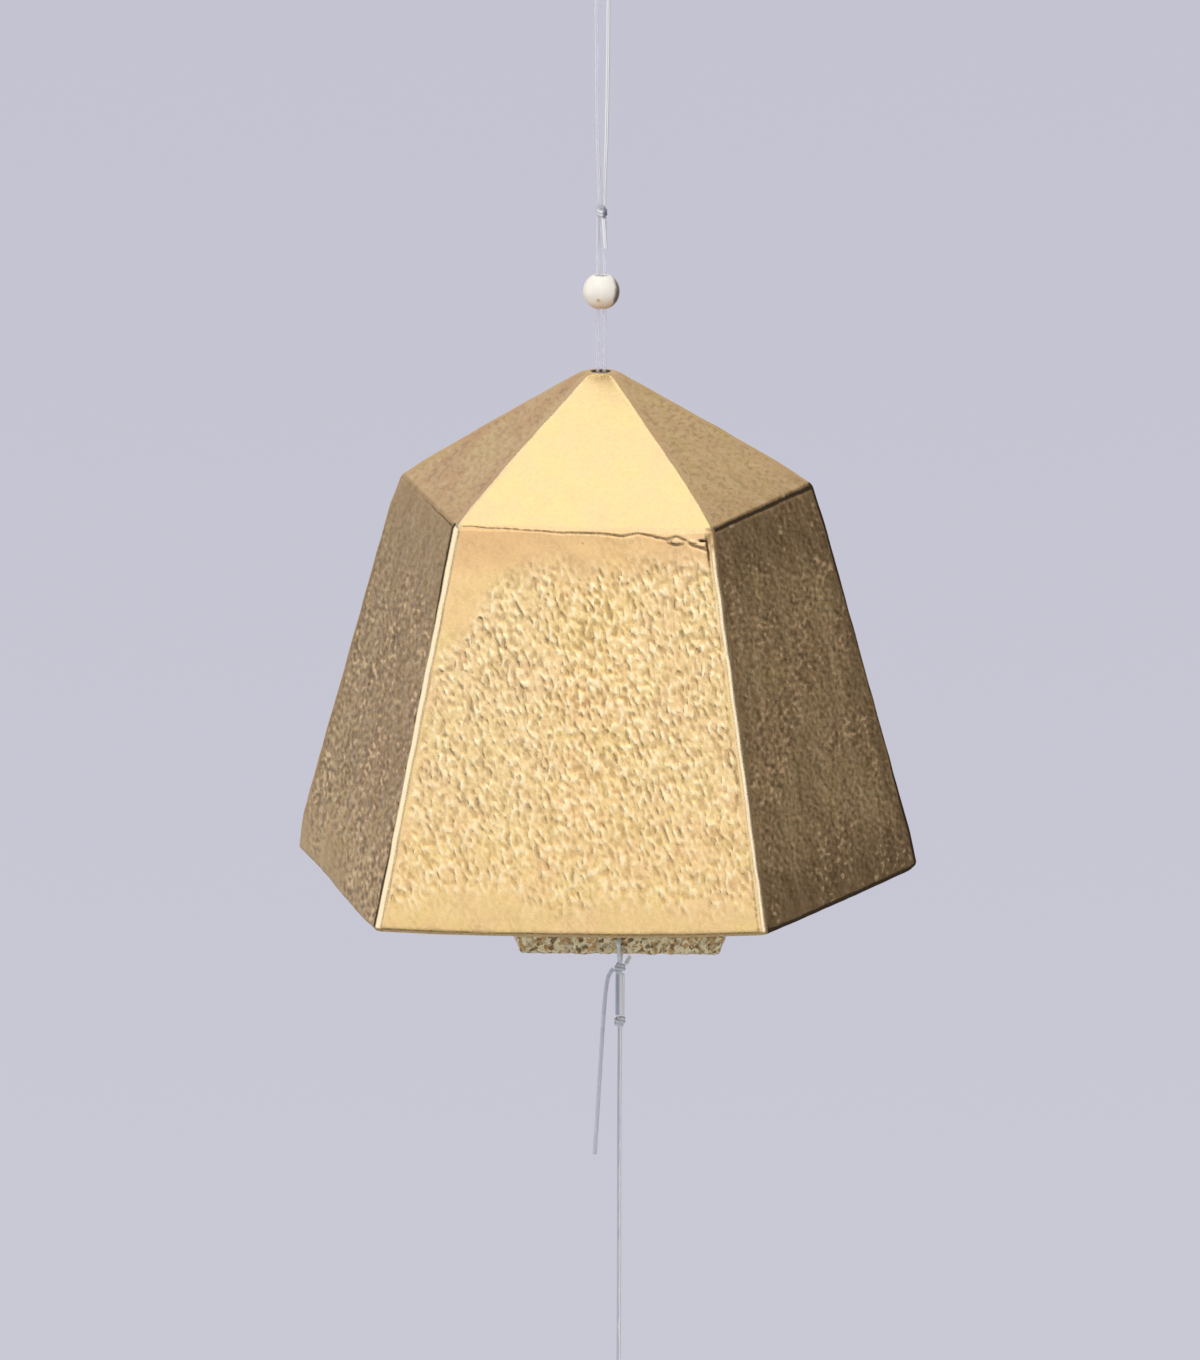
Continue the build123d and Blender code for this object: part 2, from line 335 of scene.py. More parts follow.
def pale_wood():
    """Ivory wood, polished, painted dark on the right as shade and tan at the foot as the gold's
    thrown light.
    """
    material, tree, shader, at = new_material("pale_wood")
    stretched = object_coords(tree, (1.0, 1.0, 0.22))
    streak = noise_value(stretched, 0.45, 3.0, 0.6)
    share = spread_range(streak, 0.35, 0.7)
    colour = mix_colour(share, (1.0, 0.955, 0.88), (0.98, 0.91, 0.80))
    inputs = {"Vector": at, "Location": (0, 0, -BEAD_Z * MM)}
    about = node(tree, "Mapping", inputs).outputs["Vector"]
    ragged = times(noise_value(at, 1.2, 3.0), 0.9 * MM)
    # Painted light: a tan foot as light thrown up from the gold roof, a dark right side as shade
    for way, start, end, tone in (
        ((0.25, -0.1, -0.96), 1.1, 2.7, (0.84, 0.60, 0.38)),
        ((0.93, 0.36, -0.08), 1.35, 2.00, (0.17, 0.13, 0.11)),
    ):
        reach = plus(along_way(about, way), ragged)
        share = spread_range(reach, start * MM, end * MM)
        colour = mix_colour(share, colour, tone)
    spot = along_way(about, (-0.07, -0.94, -0.33))
    spot = spread_range(spot, 2.215 * MM, 2.25 * MM)
    colour = mix_colour(spot, colour, (0.62, 0.40, 0.20))
    rough = spread_range(streak, 0.3, 0.7, 0.36, 0.50)
    normal = bump(streak, 0.25, 0.03)
    set_shader(shader, Base_Color=colour, Roughness=rough, Normal=normal, Coat_Weight=0.35)
    set_shader(shader, Coat_Roughness=0.2)
    return material


def fibre_paper():
    material, tree, shader, at = new_material("fibre_paper")
    fibres = None
    for turn, size in ((0.3, 1.1), (1.2, 1.4), (2.2, 1.2), (2.8, 0.9)):
        inputs = {"Vector": at, "Rotation": (0, turn, 0), "Scale": (1.0, 1.0, 0.045)}
        turned = node(tree, "Mapping", inputs).outputs["Vector"]
        one = spread_range(noise_value(turned, size, 2.0, 0.5, 0.6), 0.62, 0.70)
        fibres = one if fibres is None else larger(fibres, one)
    cloud = spread_range(noise_value(at, 6.0, 4.0, 0.6), 0.35, 0.65)
    colour = mix_colour(cloud, (0.80, 0.775, 0.70), (0.86, 0.84, 0.78))
    colour = stain(colour, fibres, 0.5, (0.93, 0.915, 0.87))
    normal = bump(fibres, 0.35, 0.05)
    normal = bump(noise_value(at, 0.5, 3.0, 0.6), 0.25, 0.04, normal)
    rough = spread_range(cloud, 0.0, 1.0, 0.82, 0.92)
    set_shader(shader, Base_Color=colour, Roughness=rough, Normal=normal)
    return material


def studio_floor():
    """Pale and plain under the object, thinning out into the backdrop's own colour."""
    material, tree, shader, at = new_material("studio_floor")
    far = node(tree, "VectorMath", {0: at}, operation="LENGTH").outputs["Value"]
    clear = spread_range(far, 0.16, 0.44)
    behind = node(tree, "NewGeometry").outputs["Backfacing"]
    see_through = larger(clear, behind)
    speckle = noise_value(at, 5.0, 3.0, 0.5)
    colour = mix_colour(speckle, (0.560, 0.555, 0.640), (0.575, 0.570, 0.655))
    set_shader(shader, Base_Color=colour, Roughness=0.9)
    set_shader(shader, Specular_IOR_Level=0.0)
    through = node(tree, "BsdfTransparent")
    inputs = {0: see_through, 1: shader.outputs["BSDF"], 2: through.outputs["BSDF"]}
    mix = node(tree, "MixShader", inputs)
    out = next(n for n in tree.nodes if n.type == "OUTPUT_MATERIAL")
    tree.links.new(mix.outputs["Shader"], out.inputs["Surface"])
    return material


MATERIALS = {
    "gold": cast_gold(),
    "clapper": rough_gold(),
    "line": clear_line(),
    "wood": pale_wood(),
    "paper": fibre_paper(),
    "floor": studio_floor(),
}


# Mesh helpers
def add_object(name, data, material):
    made = bpy.data.objects.new(name, data)
    bpy.context.scene.collection.objects.link(made)
    data.materials.append(MATERIALS[material])
    return made


def mesh_object(name, points, faces, material, attributes):
    """Points are in millimetres in the row frame."""
    mesh = bpy.data.meshes.new(name)
    mesh.from_pydata([tuple(p) for p in np.asarray(points) * MM], [], faces)
    for key, values in attributes.items():
        values = np.asarray(values, np.float32)
        kind, field = ("FLOAT", "value") if values.ndim == 1 else ("FLOAT_VECTOR", "vector")
        mesh.attributes.new(key, kind, "POINT").data.foreach_set(field, values.ravel())
    mesh.validate()
    mesh.shade_smooth()
    mesh.update()
    return add_object(name, mesh, material)


def place(piece, body, slot, *nodes):
    """Rides a piece on its body, in place of CAD nodes. The material slot is not used."""
    if nodes:
        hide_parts(*nodes)
    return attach(piece, body)


# Line work
def line(name, route, radius=LINE_RADIUS):
    """A nylon line as one smooth spline. The route is in millimetres."""
    curve = bpy.data.curves.new(name, "CURVE")
    curve.dimensions = "3D"
    curve.bevel_depth = radius * MM
    curve.bevel_resolution = 5
    curve.use_fill_caps = True
    spline = curve.splines.new("NURBS")
    spline.points.add(len(route) - 1)
    for point, place_mm in zip(spline.points, route):
        point.co = (*mm(*place_mm), 1.0)
    spline.order_u = 3
    spline.use_endpoint_u = True
    spline.resolution_u = 12
    return add_object(name, curve, "line")


def both_ways(half):
    """A route down one strand and up the other, from the one strand's places across and up."""
    return [(x, 0, z) for x, z in half] + [(-x, 0, z) for x, z in reversed(half)]


def string(name, route, body, cad_node):
    """A taut line along its route, ridden on its body in place of a CAD node."""
    piece = line(name, route)
    place(piece, body, "nylon_line", cad_node)


LOOP_HALF = [(0.30, -34.40), (0.30, -31.7), (0.56, -26.6), (0.67, -18.1), (0.78, -2.75)]
LOOP_HALF += [(0.80, 0.25)]
CROWN_HALF = [(0.41, -35.80), (0.41, -55.62), (0.41, -58.96), (3.25, -60.71), (3.25, -61.81)]
CLAPPER_ROUTE = [(2.6, 0, -64.66), (2.63, 0.02, -80.0), (2.58, -0.02, -97.0), (2.6, 0, -112.25)]
WIND_ROUTE = [(2.6, 0, -136.2), (2.56, -0.02, -150.0), (2.62, 0.02, -166.0), (2.6, 0, -181.25)]
LOOP_TAIL_ROUTE = [(0.3, -0.8, -35.7), (0.4, -0.85, -37.0), (0.6, -0.95, -39.5)]

string("hanging_strands", both_ways(LOOP_HALF), "hanger", "hanging_loop")
string("crown_strands", both_ways(CROWN_HALF), "bell_line", "crown_line")
place(line("loop_tail", LOOP_TAIL_ROUTE), "bell_line", "nylon_line", "loop_knot_tail")
string("clapper_string", CLAPPER_ROUTE, "clapper_line", "clapper_line")
string("wind_string", WIND_ROUTE, "wind_line", "wind_line")


def eye(name, stand_off, start, bend, hole):
    """A loop down one face, through a hole and up the other face, as the solid has it."""
    down = [(CLAPPER_X, 0.30, start), (CLAPPER_X, stand_off, bend), (CLAPPER_X, stand_off, hole)]
    return line(name, down + [(x, -y, z) for x, y, z in reversed(down)])


# Each loop with its body and node, how far it stands off the middle plane, and the heights of its
# knot, bend and hole
EYES = (
    (
        ("clapper_hitch_loop", "clapper_hitch", "clapper_hitch"),
        (0.60, TOP_KNOT_Z, STOP_BEAD_Z - 0.6, STOP_BEAD_Z + 0.6),
    ),
    (
        ("clapper_eye_strand", "clapper", "clapper_eye_loop"),
        (1.85, EYE_KNOT_Z, CLAPPER_TOP_Z + 0.1, EYE_HOLE_Z + 0.65 - HANG_LOW),
    ),
    (
        ("wind_eye_strand", "clapper", "wind_loop"),
        (1.85, WIND_KNOT_Z + 0.75, CLAPPER_BOTTOM_Z - 0.1, WIND_HOLE_Z - 0.65 - HANG_LOW),
    ),
    (
        ("strip_eye_strand", "wind_strip", "strip_loop"),
        (0.50, STRIP_KNOT_Z - 0.75, STRIP_TOP_Z, STRIP_HOLE_Z + 1.15),
    ),
)
for (name, body, cad_node), places in EYES:
    place(eye(name, *places), body, "nylon_line", cad_node)

# The cut end that curls up beside the first knot under the clapper, and the long loose end
CURL = [(0.72, 0.52), (1.0, 0.95), (1.2, 1.5)]
TAIL = [(-0.85, -0.15), (-1.35, -0.75), (-1.65, -2.0), (-1.9, -4.4)]
TAIL += [(-2.15, -8.2), (-2.5, -14.5), (-3.05, -23.6)]
for name, path, body, cad_node in (
    ("wind_loop_curl", CURL, "clapper", "wind_loop_end"),
    ("wind_tail", TAIL, "wind_line", "wind_line_tail"),
):
    route = [(CLAPPER_X + x, 0, WIND_KNOT_Z + z) for x, z in path]
    place(line(name, route), body, "nylon_line", cad_node)

# The doubled stretch: two strands side by side, a little apart in depth at the middle
DOUBLES = ((-1, "wind_double_left", "wind_line_double"), (1, "wind_double_right"))
for side, name, *cad_nodes in DOUBLES:
    x = CLAPPER_X + 0.30 * side
    middle = (x, 0.05 * side, WIND_KNOT_Z - 2.1)
    strand = line(name, [(x, 0, WIND_KNOT_Z - 0.75), middle, (x, 0, SECOND_KNOT_Z + 0.75)])
    place(strand, "wind_line", "nylon_line", *cad_nodes)


# Knots
def knot(name, x, z, lean):
    """A drawn-up overhand knot: over two wraps round the line, their ends tucked in."""
    turns, steps, wrap_radius, half_height = 2.35, 34, 0.49, 0.49
    points = []
    for i in range(steps + 1):
        t = i / steps
        tuck = min(1.0, 6 * t, 6 * (1 - t))
        angle = 2 * math.pi * turns * t + lean
        r = wrap_radius * (0.45 + 0.55 * math.sin(0.5 * math.pi * tuck))
        height = half_height * (1 - 2 * t)
        points.append((r * math.cos(angle), r * math.sin(angle), height + 0.12 * math.sin(angle)))
    turn = Matrix.Rotation(math.radians(14 * math.cos(lean)), 3, "X")
    route = [tuple(turn @ Vector(p) * 0.97 + Vector((x, 0, z))) for p in points]
    return line(name, route, KNOT_STRAND_RADIUS)


KNOTS = (
    ("loop_knot_wraps", 0.0, LOOP_KNOT_Z, 0.4, "line_knot", "loop_knot"),
    ("clapper_top_wraps", CLAPPER_X, TOP_KNOT_Z, 1.3, "clapper_hitch", "clapper_top_knot"),
    ("clapper_eye_wraps", CLAPPER_X, EYE_KNOT_Z, 2.2, "clapper", "clapper_eye_knot"),
    ("wind_knot_wraps", CLAPPER_X, WIND_KNOT_Z, 3.0, "wind_knot", "wind_knot"),
    ("wind_second_wraps", CLAPPER_X, SECOND_KNOT_Z, 4.1, "wind_line", "wind_second_knot"),
    ("strip_knot_wraps", CLAPPER_X, STRIP_KNOT_Z, 5.0, "strip_knot", "strip_knot"),
)
for name, x, z, lean, body, cad_node in KNOTS:
    place(knot(name, x, z, lean), body, "nylon_line", cad_node)


# Bell, as the solid has it: five walls that lean in, and a five-sided roof cut off at the crown
SIDES = 5
RIM_RADIUS, SHOULDER_RADIUS, CROWN_RADIUS = 40.0, 26.6, 2.1
SHOULDER_HEIGHT = 47.4
BELL_HEIGHT = high("bell").z - RIM_Z
WALL, CROWN_THICKNESS = 2.6, 3.6
HOLE_RADIUS, SINK = 1.05, 0.6
ARRIS = 1.1
RIM_EDGE = 0.25
HALF_TURN = math.pi / SIDES
UP = np.array([0.0, 0.0, 1.0])
FRONT, RIGHT, BACK_RIGHT, BACK_LEFT, LEFT = range(SIDES)
TURNS = -math.pi / 2 + 2 * HALF_TURN * np.arange(SIDES)
OUT = np.stack([np.cos(TURNS), np.sin(TURNS), 0 * TURNS], 1)
ALONG = np.stack([-np.sin(TURNS), np.cos(TURNS), 0 * TURNS], 1)

RIM_REACH, SHOULDER_REACH, CROWN_REACH = (
    radius * math.cos(HALF_TURN) for radius in (RIM_RADIUS, SHOULDER_RADIUS, CROWN_RADIUS)
)
WALL_LEAN = (RIM_REACH - SHOULDER_REACH) / SHOULDER_HEIGHT
WALL_TILT = math.atan(WALL_LEAN)
ROOF_TILT = math.atan2(SHOULDER_REACH - CROWN_REACH, BELL_HEIGHT - SHOULDER_HEIGHT)


def wall_reach(height, inset):
    """How far from the axis a wall set in by `inset` is at a height above the rim."""
    return RIM_REACH - WALL_LEAN * height - inset / math.cos(WALL_TILT)


def roof_reach(height, inset):
    """The same for the roof."""
    fall = (height - SHOULDER_HEIGHT) * math.tan(ROOF_TILT)
    return SHOULDER_REACH - fall - inset / math.cos(ROOF_TILT)


def edge_height(inset):
    """Height at which wall and roof meet, both set in by `inset`."""
    gap = inset / math.cos(ROOF_TILT) - inset / math.cos(WALL_TILT)
    return SHOULDER_HEIGHT - gap / (math.tan(ROOF_TILT) - WALL_LEAN)


# The shadow line under the front roof wanders down to the right. Places along the face run from -1
# to 1, and drops are down the surface from the roof's end of the rounded shoulder.
LINE_PLACE_SHARES = (
    (-1.0, -0.90, -0.78, -0.58, -0.36, -0.18, 0.0, 0.10, 0.20, 0.31)
    + (0.37, 0.43, 0.56, 0.67, 0.75, 0.83, 0.86, 0.92, 0.97, 1.0)
)
LINE_DROPS = (
    (0.0, 0.0, 0.21, 0.33, 0.56, 0.81, 0.75, 0.80, 0.96, 1.20)
    + (1.02, 0.78, 1.06, 1.51, 1.12, 1.58, 2.20, 2.42, 2.75, 2.8)
)
# Blisters and hollows of the casting below that line: place share, drop, half width, half height
# and rise
BLEMISHES = (
    (0.745, 1.72, 0.85, 0.42, 0.10),
    (0.880, 1.72, 0.45, 0.28, 0.09),
    (0.960, 1.62, 0.50, 0.20, -0.22),
    (0.955, 2.20, 0.35, 0.25, 0.10),
)

# How far the casting stands off true, to the right and up, where each arris passes these heights.
# The arrises go round from front right by the back to front left.
LEVELS = (0.0, 4.5, 44.0, SHOULDER_HEIGHT, 50.0, 55.0, 60.0, BELL_HEIGHT)
OFF_TRUE = np.array(
    [
        [(0.0, 0.15), (0.35, -0.61), (0, 0), (-0.62, -0.05), (-0.62, -0.56)],
        [(0.0, 0.17), (0.57, -0.30), (0, 0), (-1.27, -0.05), (-0.58, -0.50)],
        [(0.0, 0.38), (0.57, 0.0), (0, 0), (-0.79, 0.27), (-0.10, 0.02)],
        [(0.10, 0.40), (0.22, 0.48), (0, 0), (-0.33, 0.55), (-0.05, 0.05)],
        [(0.50, 0.38), (0.0, 0.95), (0, 0), (0.10, 1.05), (-0.40, 0.10)],
        [(0.45, 0.40), (0.0, 0.85), (0, 0.30), (0.10, 1.00), (-0.45, 0.25)],
        [(0.15, 0.48), (0.0, 0.60), (0, 0.45), (0.05, 0.85), (-0.15, 0.42)],
        [(0.10, 0.50), (0.0, 0.50), (0, 0.50), (-0.15, 0.50), (-0.10, 0.50)],
    ]
)
# How far the rim hangs down between its corners, at shares of the way along each face
RIM_SHARES = (0.0, 0.13, 0.27, 0.40, 0.50, 0.62, 0.80, 0.92, 0.965, 1.0)
RIM_SAG = {
    FRONT: (0.0, 0.26, 0.40, 0.47, 0.50, 0.53, 0.38, 0.17, 0.08, 0.0),
    RIGHT: (0.0, 0.05, 0.12, 0.15, 0.15, 0.17, 0.15, 0.15, 0.10, -0.30),
    BACK_RIGHT: (-0.30, 0.0, 0.0, 0.0, 0.0, 0.0, 0.0, 0.0, 0.0, 0.0),
    LEFT: (0.0, -0.10, -0.20, -0.10, 0.12, 0.20, 0.33, 0.11, 0.06, 0.0),
}

# Closer columns beside the arrises, in millimetres, and how many lie between them
FINE_STEP, FINE_COLUMNS = 0.15, 6
MIDDLE_COLUMNS = (104, 78, 72, 72, 78)
ARC_COLUMNS = (12, 8, 6, 6, 12)


def columns():
    """For each column: its face, place share, offset along the face, and share round the arris."""
    made = []
    margin = FINE_STEP * FINE_COLUMNS
    for face, count in enumerate(MIDDLE_COLUMNS):
        for i in range(FINE_COLUMNS):
            made.append((face, -1.0, FINE_STEP * i, 0.0))
        for i in range(count + 1):
            share = -1 + 2 * i / count
            made.append((face, share, -margin * share, 0.0))
        for i in range(1, FINE_COLUMNS):
            made.append((face, 1.0, FINE_STEP * i - margin, 0.0))
        for i in range(ARC_COLUMNS[face]):
            made.append((face, 1.0, 0.0, i / ARC_COLUMNS[face]))
    return [np.array(values) for values in zip(*made)]


def rows():
    """For each row from the crown down: height, share from roof to wall, way below the roof."""
    top = BELL_HEIGHT - ARRIS * math.sin(ROOF_TILT)
    edge = edge_height(ARRIS)
    roof_length = (top - edge) / math.cos(ROOF_TILT)
    near = [1.3, 0.85, 0.5, 0.25]
    made = []
    for way in list(np.linspace(roof_length, near[0], 38)[:-1]) + near:
        made.append((edge + way * math.cos(ROOF_TILT), 0.0, -way))
    roll_length = ARRIS * (ROOF_TILT - WALL_TILT)
    for share in np.linspace(0, 1, 6):
        made.append((edge, share, share * roll_length))
    wall_length = (edge - RIM_EDGE) / math.cos(WALL_TILT)
    ways = list(np.arange(1, 20) * 0.13) + [2.72, 3.0]
    count = int((wall_length - ways[-1]) / 0.43)
    ways += list(np.linspace(ways[-1], wall_length, count + 1)[1:])
    for way in ways:
        made.append((edge - way * math.cos(WALL_TILT), 1.0, roll_length + way))
    return [np.array(values)[:, None] for values in zip(*made)]


def fade(value, start, end):
    share = np.clip((value - start) / (end - start), 0, 1)
    return share * share * (3 - 2 * share)


def ridge(value, width):
    return np.exp(-((value / width) ** 2))


SLANT = np.array(Matrix.Rotation(0.9, 3, Vector((1, 0.7, 0.4))))


def lumps(points, size, seed):
    """Smooth noise from -1 to 1 whose lattice is `size` millimetres."""
    shift = Vector((seed * 17.3, seed * 5.1, seed * 11.7))
    flat = points.reshape(-1, 3) @ SLANT / size
    values = [noise.noise(Vector(point) + shift) for point in flat.tolist()]
    return np.array(values).reshape(points.shape[:-1])


def hollows(points, size, seed):
    """1 at scattered points, falling to 0 between them."""
    shift = Vector((seed * 7.9, seed * 3.3, seed * 13.1))
    flat = points.reshape(-1, 3) / size
    values = [noise.voronoi(Vector(point) + shift)[0][0] for point in flat.tolist()]
    return 1 - fade(np.array(values).reshape(points.shape[:-1]), 0.08, 0.60)


def off_true(points):
    """Points moved as the arrises beside them and the rim are."""
    turn = np.arctan2(points[:, 1], points[:, 0])
    side = np.rint((turn - TURNS[0]) / (2 * HALF_TURN)).astype(int)
    rest = turn - TURNS[0] - 2 * HALF_TURN * side
    share = 0.5 + 0.5 * np.tan(rest) / math.tan(HALF_TURN)
    side = side % SIDES
    height = points[:, 2]
    grid = np.arange(-4.0, BELL_HEIGHT + 4.0, 0.25)
    window = np.hanning(11) / np.hanning(11).sum()
    moved = np.zeros_like(points)
    for arris in range(SIDES):
        near = np.where(side == arris, share, 0.0)
        near = near + np.where((side - 1) % SIDES == arris, 1 - share, 0.0)
        for axis, way in ((0, 0), (2, 1)):
            track = np.interp(grid, LEVELS, OFF_TRUE[:, arris, way])
            track = np.convolve(track, window, "same")
            moved[:, axis] += near * np.interp(height, grid, track)
    for face, sag in RIM_SAG.items():
        hang = np.interp(share, RIM_SHARES, sag) * np.clip(1 - height / 12, 0, 1) ** 2
        moved[:, 2] -= np.where(side == face, hang, 0.0)
    return points + moved


def spherical(start, end, share):
    """Unit vectors turned from start to end by a share of the angle between them."""
    angle = np.arccos(np.clip((start * end).sum(-1), -1, 1))[..., None]
    angle = np.maximum(angle, 1e-9)
    share = share[..., None]
    return (np.sin((1 - share) * angle) * start + np.sin(share * angle) * end) / np.sin(angle)


def outer_surface():
    """Points, normals and the places that the finish needs, as rows by columns."""
    face, station, offset, arc = columns()
    height, blend, below = rows()
    face = face.astype(int)
    after = (face + 1) % SIDES

    reach = np.where(below < 0, roof_reach(height, ARRIS), wall_reach(height, ARRIS))
    half = reach * math.tan(HALF_TURN)
    tight = np.minimum(1.0, half / 4.0)
    along = station * half + offset * tight
    from_arris = np.where(arc > 0, 0.0, half - np.abs(along))

    tilt = ROOF_TILT + (WALL_TILT - ROOF_TILT) * blend
    tilt = np.broadcast_to(tilt, along.shape)[..., None]
    this_normal = np.cos(tilt) * OUT[face] + np.sin(tilt) * UP
    next_normal = np.cos(tilt) * OUT[after] + np.sin(tilt) * UP
    normals = spherical(this_normal, next_normal, np.broadcast_to(arc, along.shape))

    points = reach[..., None] * OUT[face] + along[..., None] * ALONG[face] + ARRIS * normals
    points += height[..., None] * UP
    points[..., 2] = np.minimum(points[..., 2], BELL_HEIGHT)
    below = np.broadcast_to(below, along.shape)
    face = np.broadcast_to(face, along.shape)
    arc = np.broadcast_to(arc, along.shape)
    return points, normals, face, arc, from_arris, below, along, along / half


surface, normals, face, arc, from_arris, below, along, place_share = outer_surface()
above_rim = surface[..., 2]
is_wall = below >= 0
on_arris = arc > 0
right_half = place_share > 0
is_front, is_right, is_left = face == FRONT, face == RIGHT, face == LEFT
front_wall, right_wall, left_wall = is_front & is_wall, is_right & is_wall, is_left & is_wall
flat_front = is_front & ~on_arris
flat_wall = flat_front & is_wall


def by_face(front, right, back_right, back_left, left):
    return np.array([front, right, back_right, back_left, left])[face]


edge_wander = 0.10 * lumps(surface, 2.2, 7) + 0.05 * lumps(surface, 0.9, 8)
blotch = 0.5 + 0.5 * lumps(surface, 1.6, 9)

# Pear skin, which leaves a smooth band along the front wall's top and foot and beside its arrises
wander = lumps(surface, 9.0, 1)
wander_fine = lumps(surface, 3.0, 2)
top_band = np.where(is_front, 1.2 + 2.6 * fade(-along, 0.0, 12.0), -0.5)
top_band += 8.0 * is_front * (along < 0) * fade(-from_arris, -6.5, -1.0)
band_end = top_band + np.where(is_front, 5.0, 3.0)
foot_band = by_face(0.9, -1.5, 0.5, 0.5, 0.0)
skin = fade(below + 2.6 * wander + 1.4 * wander_fine, top_band, band_end)
skin *= fade(above_rim + 2.6 * wander + 1.2 * wander_fine, foot_band, foot_band + 4.4)
skin *= fade(from_arris + 0.4 * wander + 0.3 * wander_fine, -0.2, 0.8)
skin = np.where(is_wall, skin * by_face(1.0, 0.55, 0.8, 0.8, 1.1), 0.0)
left_band = fade(1.6 + 1.6 * wander - (from_arris + 99 * (along >= 0)), 0.0, 2.0)
left_foot = fade(7.0 + 5.0 * wander - above_rim, 0.0, 5.0) * fade(-along, -6.0, 8.0)
left_smooth = np.maximum(left_band, left_foot)
skin = np.where(is_left, skin * (1 - 0.8 * left_smooth), skin)
skin = np.where(is_left, skin * (0.55 + 0.45 * fade(below, 4.0, 13.0)), skin)
skin = np.where(is_front, skin * (1 - 0.22 * fade(-above_rim, -26.0, -6.0)), skin)
roof_skin = np.where(is_wall, 0.0, 0.42 * fade(from_arris, 0.2, 1.5))
skin = skin + roof_skin * by_face(0.10, 0.5, 0.8, 0.8, 0.9)

# Where the skin's lumps lie. They are tall and lean on the front wall, and wide on the two sides
squeeze = np.where(is_wall, by_face(1.0, 0.52, 0.8, 0.8, 0.40), 0.9)
squeeze = np.where(is_wall | is_front, squeeze, by_face(1.0, 0.5, 0.8, 0.8, 0.36))
stretch = np.where(is_wall, by_face(1.65, 1.05, 1.2, 1.2, 1.1), 1.0)
lean = np.where(front_wall, 0.20, 0.0)
skin_at = np.stack([along * squeeze - lean * below, below / stretch, face * 37.0], -1)
coarse = lumps(skin_at, 1.25, 3)
hollow = hollows(skin_at, 1.4, 5)
relief = 0.012 * coarse - 0.007 * hollow
depth = np.minimum(skin, 1.2) * (0.09 - relief)
# The whole casting is a little uneven
depth += 0.05 * (0.5 + 0.5 * lumps(surface, 14.0, 6)) * np.where(on_arris, 0.3, 1.0)
# Painted shade in the skin's pits
pit = np.minimum(skin, 1.0) * np.clip(0.4 * hollow - 0.4 * coarse - 0.2, 0, 1)

# Painted speckle, dark dots as shade and bright dots as glints of a fine relief, and rust
patches = fade(lumps(surface, 6.0, 25) + 0.5 * lumps(surface, 2.5, 26), -0.15, 0.35)
painted_speckle = np.where(is_wall, by_face(0.12, 0.72, 0.6, 0.6, 1.0), 0.35) * fade(from_arris, 0.1, 0.9)
painted_speckle *= np.where(is_left, 1 - 0.75 * left_smooth, 1.0)
painted_speckle *= np.where(left_wall, 0.35 + 0.65 * fade(below, 5.0, 15.0), 1.0)
painted_speckle *= np.where(is_front & ~is_wall, 0.0, 0.7 + 0.5 * patches)
half_way = ridge(above_rim - 22.0, 15.0)
rust = np.where(is_left, half_way * fade(along, -10.0, 4.0) * (0.35 + 0.65 * patches), 0.0)
near_front = np.where(place_share < 0, fade(-from_arris, -4.0, -0.5), 0.0)
rust = np.where(is_right, np.maximum(0.55 * near_front, 0.5 * patches * half_way), rust)
rust = np.where(is_wall | is_front, rust, np.where(is_left, 0.90, 0.0) * patches)
rust += front_wall * fade(-below, -7.0, -3.0) * (0.62 + 0.38 * fade(-along, 2.0, 12.0))

# Painted shadow lines under the roof's edges, also cut in as a shallow groove
line_at = np.where(is_front, np.interp(place_share, LINE_PLACE_SHARES, LINE_DROPS), 0.42)
line_width = by_face(0.14, 0.34, 0.2, 0.2, 0.18)
line_depth = by_face(0.10, 0.16, 0.08, 0.08, 0.08)
line_dirt = by_face(0.50, 1.0, 0.5, 0.5, 0.62)
line_dirt = np.where(is_left, line_dirt * (0.45 + 0.55 * fade(along, -6.0, 12.0)), line_dirt)
shadow = ridge(below - line_at - 0.5 * edge_wander, line_width) * fade(from_arris, 0.0, 0.4)
depth += line_depth * shadow
dirt = line_dirt * shadow * (0.8 + 0.3 * blotch)
# Between that line and the edge the front wall is rounded off towards the roof, and painted light
# makes it as bright as the roof
lit = flat_wall * fade(line_at - below, 0.0, 0.16)
ease = np.where(is_wall, line_at - below, line_at * np.clip(1 + below / 5.0, 0, 1))
depth += flat_front * 0.10 * np.clip(ease, 0, 1.4) * fade(from_arris, 0.0, 4.0)
in_middle = place_share == 0
half_here = np.where(in_middle, 1.0, along / np.where(in_middle, 1, place_share))
# Blemishes: a hollow gets painted shade, a blister gets painted light with a painted shadow under
# it
for share, drop, half_wide, half_high, rise in BLEMISHES:
    away = np.hypot((along - share * half_here) / half_wide, (below - drop) / half_high)
    blemish = flat_wall * (1 - fade(away, 0.5, 1.0))
    depth -= rise * blemish
    if rise < 0:
        dirt = np.maximum(dirt, blemish)
    else:
        lit = np.maximum(lit, blemish)
        under = flat_wall * ridge(away - 1.15, 0.22) * (below > drop)
        dirt = np.maximum(dirt * (1 - blemish), 0.5 * under)

